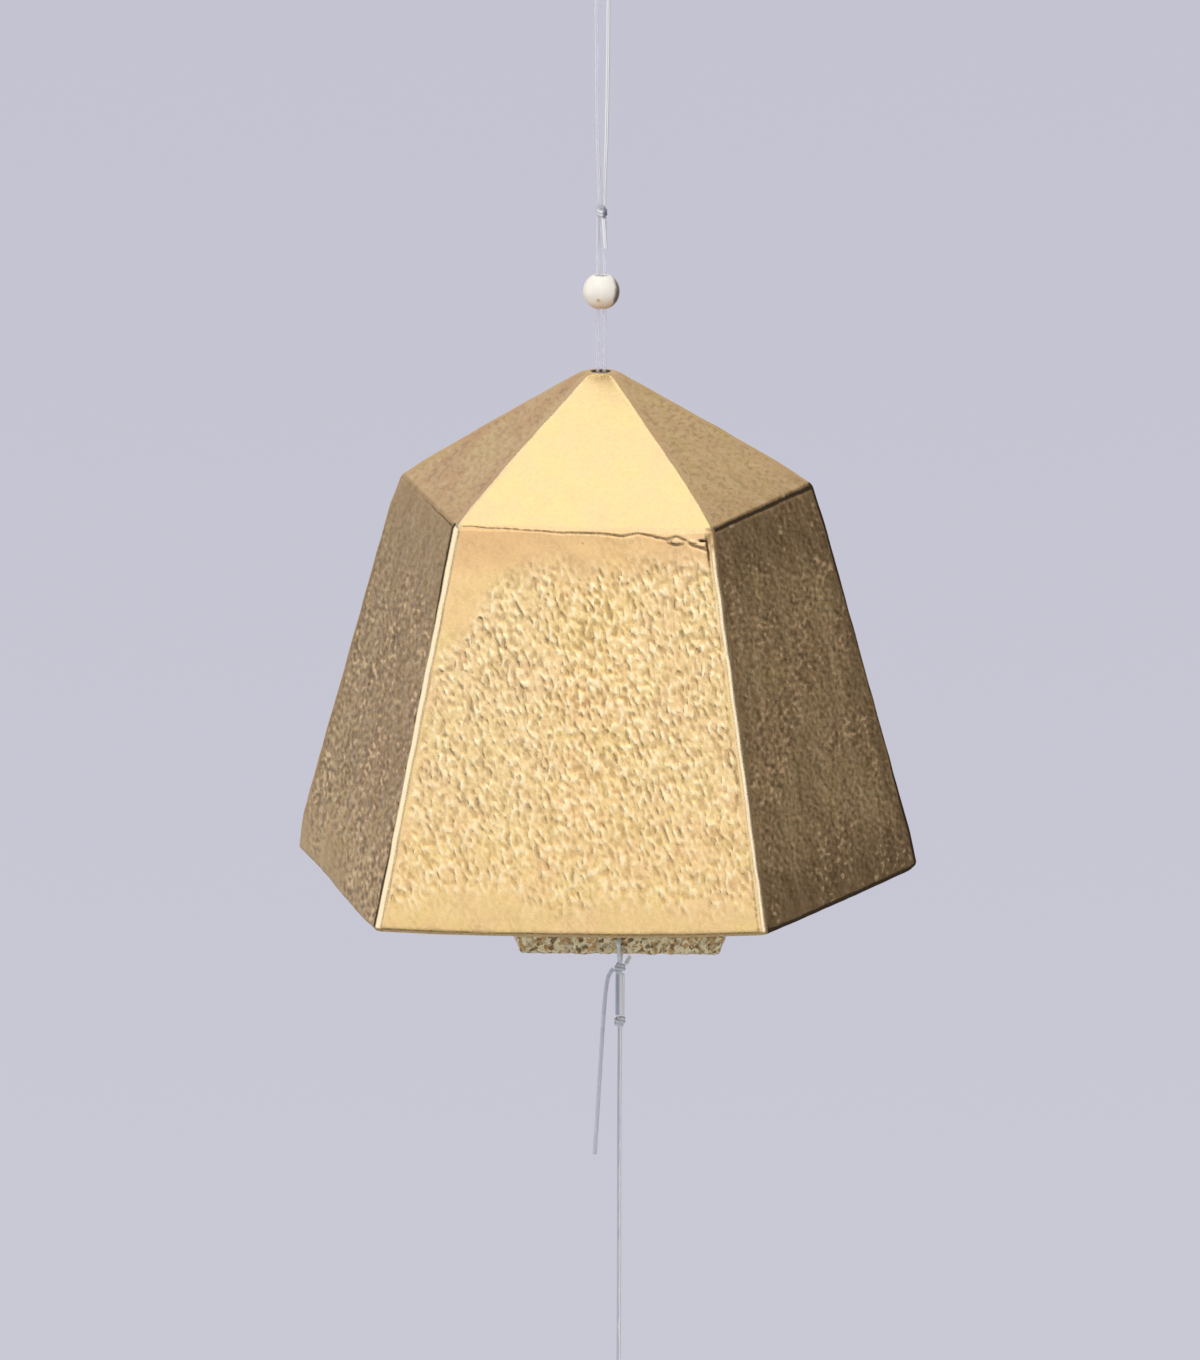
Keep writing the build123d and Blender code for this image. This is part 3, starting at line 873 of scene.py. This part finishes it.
# Painted shade beside the arrises, at the front wall's right corner, along the right wall's far
# edge and along the rim
strong_top = fade(-below, -16.0, -6.0)
strong_low = fade(-above_rim, -16.0, -5.0)
level = surface * (0, 0, 1)
wobble = 0.10 * lumps(level, 1.5, 15) + 0.06 * lumps(level, 0.6, 16)
dots = fade(lumps(level, 1.1, 17), 0.15, 0.4)
left_amount = np.clip(strong_top + 0.8 * strong_low + 0.15 + 0.5 * dots, 0, 1)
left_side = np.where(on_arris, 1 - fade(arc + wobble, 0.0, 0.10), ridge(from_arris - 0.25, 0.85))
dirt = np.maximum(dirt, (left_wall & right_half) * left_side * left_amount)
front_arris = front_wall & on_arris
dirt = np.maximum(dirt, front_arris * fade(arc + wobble, 0.80, 0.98) * (0.32 + 0.3 * blotch))
beside_right = right_wall & (place_share < 0) & ~on_arris
dirt = np.maximum(dirt, beside_right * ridge(from_arris - 0.2, 0.60) * (0.24 + 0.35 * blotch))
corner = np.where(on_arris, 1 - fade(arc, 0.0, 0.14), ridge(from_arris - 0.10, 0.22))
corner_dirt = 0.20 * strong_low + 0.16 * strong_top + 0.10
corner_dirt += 0.38 * fade(-below, -5.5, -3.0) * fade(below, 0.6, 1.6)
dirt = np.maximum(dirt, corner * (front_wall & right_half) * np.clip(corner_dirt, 0, 1))
dirt = np.maximum(dirt, 0.30 * front_arris * fade(-below, -5.5, -1.5))
silhouette = np.where(on_arris, 1 - fade(arc, 0.24, 0.48), ridge(from_arris, 0.35))
silhouette = (right_wall & right_half) * silhouette
ends = np.maximum(strong_top, 0.8 * strong_low)
dirt = np.maximum(dirt, silhouette * (0.46 + 0.2 * blotch + 0.34 * ends))
rim_dirt = by_face(0.24, 0.72, 0.35, 0.35, 0.34)
rim_high = by_face(0.10, 0.56, 0.45, 0.45, 0.35)
dirt = np.maximum(dirt, rim_dirt * fade(rim_high + 0.2 - above_rim, 0.0, 0.2) * is_wall)
depth += 0.05 * np.clip(dirt, 0, 1) * is_wall * ~on_arris

# The side walls are streaked with tarnish, and painted shade makes them darker along the top, the
# right one also on its far side and foot
streaks = lumps(skin_at * (1.0, 0.10, 1.0), 0.9, 13)
streaks = streaks + 0.6 * lumps(skin_at * (1.0, 0.14, 1.0), 2.4, 14)
tarnish_and_shade = 0.28 + 0.80 * fade(-below, -13.0, -2.0) + 0.60 * fade(from_arris, 7.0, 0.5) * right_half
tarnish_and_shade += 0.95 * fade(above_rim, 10.0, 0.5)
tarnish_and_shade += 0.35 * lumps(surface * (1, 1, 0.5), 4.0, 18)
tarnish_and_shade = np.where(right_wall, np.clip(tarnish_and_shade + 0.22 * streaks, 0, 1), 0.0)
left_tarnish_and_shade = 0.22 + 0.36 * fade(-below, -26.0, -4.0) + 0.30 * half_way + 0.20 * streaks
left_tarnish_and_shade += 0.12 * lumps(surface, 4.0, 24) - 0.14 * fade(-above_rim, -15.0, -4.0)
tarnish_and_shade += left_wall * np.clip(left_tarnish_and_shade, 0, 1)
# Painted shade on the front wall just under the roof's edge and along the rim
tarnish_and_shade += flat_wall * (1 - lit) * 0.12 * fade(-below, -7.0, -2.0)
tarnish_and_shade += flat_wall * 0.14 * fade(-above_rim, -6.0, -1.5)

# Painted highlights: pale strips on the arrises round the front face
left_highlight = fade(arc + wobble, 0.04, 0.18) * (1 - 0.8 * fade(arc, 0.60, 1.0))
right_highlight = fade(arc, 0.12, 0.3) * (1 - fade(arc + wobble, 0.66, 0.88)) * fade(below, 1.0, 5.0)
painted_highlight = np.where(is_left & on_arris, left_highlight, 0.0)
painted_highlight = np.where(is_front & on_arris, right_highlight, painted_highlight)
painted_highlight = np.where(is_wall, painted_highlight, 0.35 * painted_highlight)
# The lit band under the roof's edge gets some painted highlight
painted_highlight = np.maximum(painted_highlight, 0.15 * lit)
# The front wall's skin is painted paler towards its sides, in the same pale colour as the painted
# highlights
paler = 0.17 * fade(-along, -1.0, 8.0) + 0.10 * fade(along, 4.0, 10.0)
paler = flat_wall * np.minimum(skin, 1) * paler * fade(above_rim, 8.0, 18.0)
painted_highlight = np.maximum(painted_highlight, paler)
painted_highlight *= 1 - np.clip(dirt, 0, 1)

# The finished outer surface, and what every point of it carries
outer = surface - normals * depth[..., None]
outer = outer + 0.07 * np.stack([lumps(surface, 2.6, seed) for seed in (31, 32, 33)], -1)
layers = dict(zip(FINISH_AND_LIGHT_LAYERS, (skin, pit, painted_highlight, dirt, tarnish_and_shade, painted_speckle, rust)))
layers["skin_at"] = skin_at * MM

verts, faces = [], []
finish_and_light = {key: [] for key in (*FINISH_AND_LIGHT_LAYERS, "skin_at")}


def add_ring(points, **values):
    start = len(verts)
    verts.extend(map(tuple, points))
    for key, layer in finish_and_light.items():
        like = points * MM if key == "skin_at" else points[:, 0] * 0
        layer.extend((values[key] + 0 * like if key in values else like).tolist())
    return list(range(start, start + len(points)))


def join(upper, lower):
    """Faces between two rings, which may hold different numbers of points."""
    n, m = len(upper), len(lower)
    if n == m:
        for i in range(n):
            j = (i + 1) % n
            faces.append((upper[i], lower[i], lower[j], upper[j]))
        return
    i = j = 0
    while i < n or j < m:
        if j >= m or (i < n and (i + 0.5) / n <= (j + 0.5) / m):
            faces.append((upper[i % n], lower[j % m], upper[(i + 1) % n]))
            i += 1
        else:
            faces.append((upper[i % n], lower[j % m], lower[(j + 1) % m]))
            j += 1


def circle(radius, height, like):
    turns = np.arctan2(like[:, 1], like[:, 0])
    return np.stack([radius * np.cos(turns), radius * np.sin(turns), np.full(len(like), height)], 1)


def add_outside():
    """Crown, outer surface and the rim's rolled edge. Returns the first and last rings."""
    crown = outer[0]
    # The rings round the crown hole carry painted shade
    first = previous = add_ring(circle(HOLE_RADIUS, BELL_HEIGHT - 0.12, crown), dirt=0.6)
    for share in (0.12, 0.55, 1.0):
        ring = circle(HOLE_RADIUS + 0.1, 0.0, crown) * (1 - share) + crown * share
        ring[:, 2] = BELL_HEIGHT - 0.03 - (0.05 if share == 1.0 else 0.0)
        now = add_ring(ring, dirt=0.35 * (1 - share))
        join(previous, now)
        previous = now
    for index in range(1, len(outer)):
        now = add_ring(outer[index], **{key: layer[index] for key, layer in layers.items()})
        join(previous, now)
        previous = now
    last = outer[-1]
    outward = normals[-1] * (1, 1, 0)
    outward /= np.linalg.norm(outward, axis=1)[:, None]
    # The rim's rolled edge carries the rim's painted shade
    for turn in np.radians([25, 50, 70, 90]):
        ring = last - outward * RIM_EDGE * (1 - math.cos(turn))
        ring[:, 2] = last[:, 2] * (1 - math.sin(turn))
        now = add_ring(ring, dirt=rim_dirt[-1])
        join(previous, now)
        previous = now
    return first, previous


def inner_ring(reach, height, spans, corner):
    """A five-sided ring with rounded corners."""
    ring = []
    flat = reach - corner
    half = flat * math.tan(HALF_TURN)
    for k in range(SIDES):
        for share in np.linspace(-1, 1, spans, endpoint=False):
            ring.append(reach * OUT[k] + share * half * ALONG[k])
        for share in np.linspace(0, 1, 3, endpoint=False):
            turn = TURNS[k] + 2 * HALF_TURN * share
            round_off = np.array([math.cos(turn), math.sin(turn), 0.0])
            ring.append(flat * OUT[k] + half * ALONG[k] + corner * round_off)
    ring = np.array(ring)
    ring[:, 2] = height
    return ring


def add_inside(previous, first):
    """Inner walls and ceiling from the rim up to the hole, a little rougher than outside."""
    spans = 30
    ceiling = BELL_HEIGHT - CROWN_THICKNESS
    edge = edge_height(WALL)
    stations = [(wall_reach(0, WALL) + 0.35, 0.0), (wall_reach(0, WALL) + 0.08, 0.10)]
    stations += [(wall_reach(h, WALL), h) for h in np.linspace(0.40, edge - 0.5, 36)]
    stations += [(roof_reach(h, WALL), h) for h in np.linspace(edge + 0.4, ceiling, 14)]
    for reach, height in stations:
        ring = inner_ring(reach, height, spans, min(1.6, 0.5 * reach))
        if 0.2 < height < ceiling - 0.5:
            swell = 0.10 * lumps(ring, 3.0, 19) + 0.05 * lumps(ring, 1.4, 20)
            outward = ring * (1, 1, 0)
            outward /= np.linalg.norm(outward, axis=1)[:, None]
            ring = ring - outward * np.clip(swell, -0.2, 0.02)[:, None]
        # The inside carries painted shade in its pits throughout
        now = add_ring(ring, skin=0.9 if height > 0.2 else 0.3, pit=0.35)
        join(previous, now)
        previous = now
    like = np.array([verts[i] for i in previous])
    # The hole's rings carry painted shade
    for radius, height in ((HOLE_RADIUS + SINK, ceiling), (HOLE_RADIUS, ceiling + SINK)):
        now = add_ring(circle(radius, height, like), dirt=0.4)
        join(previous, now)
        previous = now
    join(previous, first)


crown_ring, rim_ring = add_outside()
outside_count = len(verts)
add_inside(rim_ring, crown_ring)
true_points = np.array(verts)
# The ceiling stays where the stop bead bears on it
inside = np.arange(len(verts)) >= outside_count
followed = np.where(inside, fade(-true_points[:, 2], -50.0, -40.0), 1.0)[:, None]
bell_points = true_points + followed * (off_true(true_points) - true_points) + RIM_Z * UP
bell = mesh_object("cast_bell", bell_points, faces, "gold", finish_and_light)
place(bell, "bell", "gold_cast_bell", "bell")


# Clapper: the solid's plate as a fine mesh, roughened inward
PLATE_GRAIN = 0.24


def clapper_plate():
    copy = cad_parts["clapper"].data.copy()
    source = bpy.data.objects.new("clapper_source", copy)
    bpy.context.scene.collection.objects.link(source)
    remesh = source.modifiers.new("fine", "REMESH")
    remesh.mode = "VOXEL"
    remesh.voxel_size = PLATE_GRAIN * MM
    graph = bpy.context.evaluated_depsgraph_get()
    fine = source.evaluated_get(graph).to_mesh()
    count = len(fine.vertices)
    points = np.empty(3 * count)
    outward = np.empty(3 * count)
    fine.vertices.foreach_get("co", points)
    fine.vertices.foreach_get("normal", outward)
    polygons = [tuple(polygon.vertices) for polygon in fine.polygons]
    bpy.data.objects.remove(source)
    return points.reshape(-1, 3) / MM, outward.reshape(-1, 3), polygons


plate, plate_out, plate_faces = clapper_plate()
plate_coarse = lumps(plate, 1.5, 21)
plate_fine = lumps(plate, 0.62, 22)
plate_hollow = hollows(plate, 0.8, 23)
plate_relief = 0.09 * plate_coarse + 0.11 * plate_fine - 0.14 * plate_hollow
plate = plate - plate_out * np.clip(0.16 - plate_relief, 0.02, 0.5)[:, None]
# It hangs a little askew, its left end low
plate[:, 2] += HANG_SLOPE * (plate[:, 0] - CLAPPER_X) - HANG_LOW
# Painted shade in the plate's hollows
plate_pit = np.clip(0.9 * plate_hollow - 0.9 * plate_fine, 0, 1)
clapper = mesh_object("clapper_plate", plate, plate_faces, "clapper", {"pit": plate_pit})
place(clapper, "clapper", "gold_cast_clapper", "clapper")


# Beads and paper, as the solids have them
def dress(cad_node, material, smooth):
    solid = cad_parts[cad_node]
    solid.data.materials.clear()
    solid.data.materials.append(MATERIALS[material])
    if smooth:
        solid.data.shade_smooth()


dress("line_bead", "wood", True)
dress("stop_bead", "wood", True)
dress("wind_strip", "paper", False)


# Floor
FLOOR_RADIUS, FLOOR_Z = 0.46, -0.3005
floor_mesh = bpy.data.meshes.new("studio_floor")
rings_out, spokes = 14, 64
floor_points = [(0, 0, 0)]
for ring_index in range(1, rings_out + 1):
    for spoke in range(spokes):
        turn = 2 * math.pi * spoke / spokes
        radius = FLOOR_RADIUS * ring_index / rings_out
        floor_points.append((radius * math.cos(turn), radius * math.sin(turn), 0))
floor_faces = [(0, 1 + s, 1 + (s + 1) % spokes) for s in range(spokes)]
for ring_index in range(rings_out - 1):
    for s in range(spokes):
        a = 1 + ring_index * spokes
        b = a + spokes
        t = (s + 1) % spokes
        floor_faces.append((a + s, b + s, b + t, a + t))
floor_mesh.from_pydata(floor_points, [], floor_faces)
floor = add_object("studio_floor", floor_mesh, "floor")
floor.location = (0, 0, FLOOR_Z)


# Lights, all aimed at one point
AIM = Vector((0, 0, -0.09))


def softbox(name, place_m, width, height, radiance, colour=(1, 1, 1)):
    """A plain soft panel that gives the same brightness at any size."""
    light = bpy.data.lights.new(name, "AREA")
    light.shape = "RECTANGLE"
    light.size, light.size_y = width, height
    light.energy = radiance * math.pi * width * height
    light.color = colour
    panel = bpy.data.objects.new(name, light)
    bpy.context.scene.collection.objects.link(panel)
    panel.location = place_m
    panel.rotation_mode = "QUATERNION"
    panel.rotation_quaternion = (Vector(place_m) - AIM).to_track_quat("Z", "Y")
    panel.visible_camera = False


softbox("top_panel", (0.0, 0.10, 0.95), 1.1, 1.0, 1.40, (0.88, 0.95, 1.0))
softbox("front_panel", (0.0, -3.2, 0.75), 3.0, 2.5, 1.08)
softbox("upper_panel", (0.0, -0.93, 1.06), 1.6, 1.08, 1.30)
softbox("left_panel", (-1.45, -0.35, 0.15), 2.3, 1.8, 1.25)
softbox("right_panel", (1.33, -0.93, 0.15), 1.15, 1.8, 1.31)

# Surroundings
world = bpy.data.worlds.new("studio")
bpy.context.scene.world = world
world.use_nodes = True
tree = world.node_tree
tree.nodes.clear()
world_out = tree.nodes.new("ShaderNodeOutputWorld")
background = tree.nodes.new("ShaderNodeBackground")
tree.links.new(background.outputs["Background"], world_out.inputs["Surface"])
ray = node(tree, "TexCoord").outputs["Generated"]
# What the metal sees: a lit wall behind, a little to the left and up, in a dim room
toward_wall = along_way(ray, (-0.10, 0.97, 0.32))
level = spread_range(toward_wall, 0.48, 0.94, 0.12, 0.71, smooth=False)
reflected = mix_colour(level, (0, 0, 0), (1.0, 0.93, 0.88))
# What the camera sees: a pale backdrop, lightest low down
rise = node(tree, "SeparateXYZ", {"Vector": ray}).outputs["Z"]
rise = spread_range(rise, -0.30, -0.14)
seen = mix_colour(rise, (0.605, 0.598, 0.685), (0.548, 0.543, 0.636))
path = node(tree, "LightPath")
direct = larger(path.outputs["Is Camera Ray"], path.outputs["Is Transmission Ray"])
tree.links.new(mix_colour(direct, reflected, seen), background.inputs["Color"])

# Camera
LENS, SENSOR, DISTANCE = 518.6, 36.0, 2.4
ELEVATION, AZIMUTH, ROLL = (math.radians(degrees) for degrees in (11.66, 5.54, 0.2))
STANDS_BEFORE = Vector((0, 0, -0.090))
LOOKS_AT = Vector((0, 0, -0.09345))
camera = bpy.data.cameras.new("camera")
camera.lens = LENS
camera.sensor_width = SENSOR
camera.clip_start, camera.clip_end = 0.05, 60.0
camera_object = bpy.data.objects.new("camera", camera)
bpy.context.scene.collection.objects.link(camera_object)
out_level = math.cos(ELEVATION)
away = (math.sin(AZIMUTH) * out_level, -math.cos(AZIMUTH) * out_level, math.sin(ELEVATION))
camera_object.location = STANDS_BEFORE + Vector(away) * DISTANCE
look = LOOKS_AT - camera_object.location
turned = Matrix.Rotation(ROLL, 3, "Z").to_quaternion()
camera_object.rotation_mode = "QUATERNION"
camera_object.rotation_quaternion = look.to_track_quat("-Z", "Y") @ turned
bpy.context.scene.camera = camera_object
bpy.context.scene.view_settings.view_transform = "Standard"
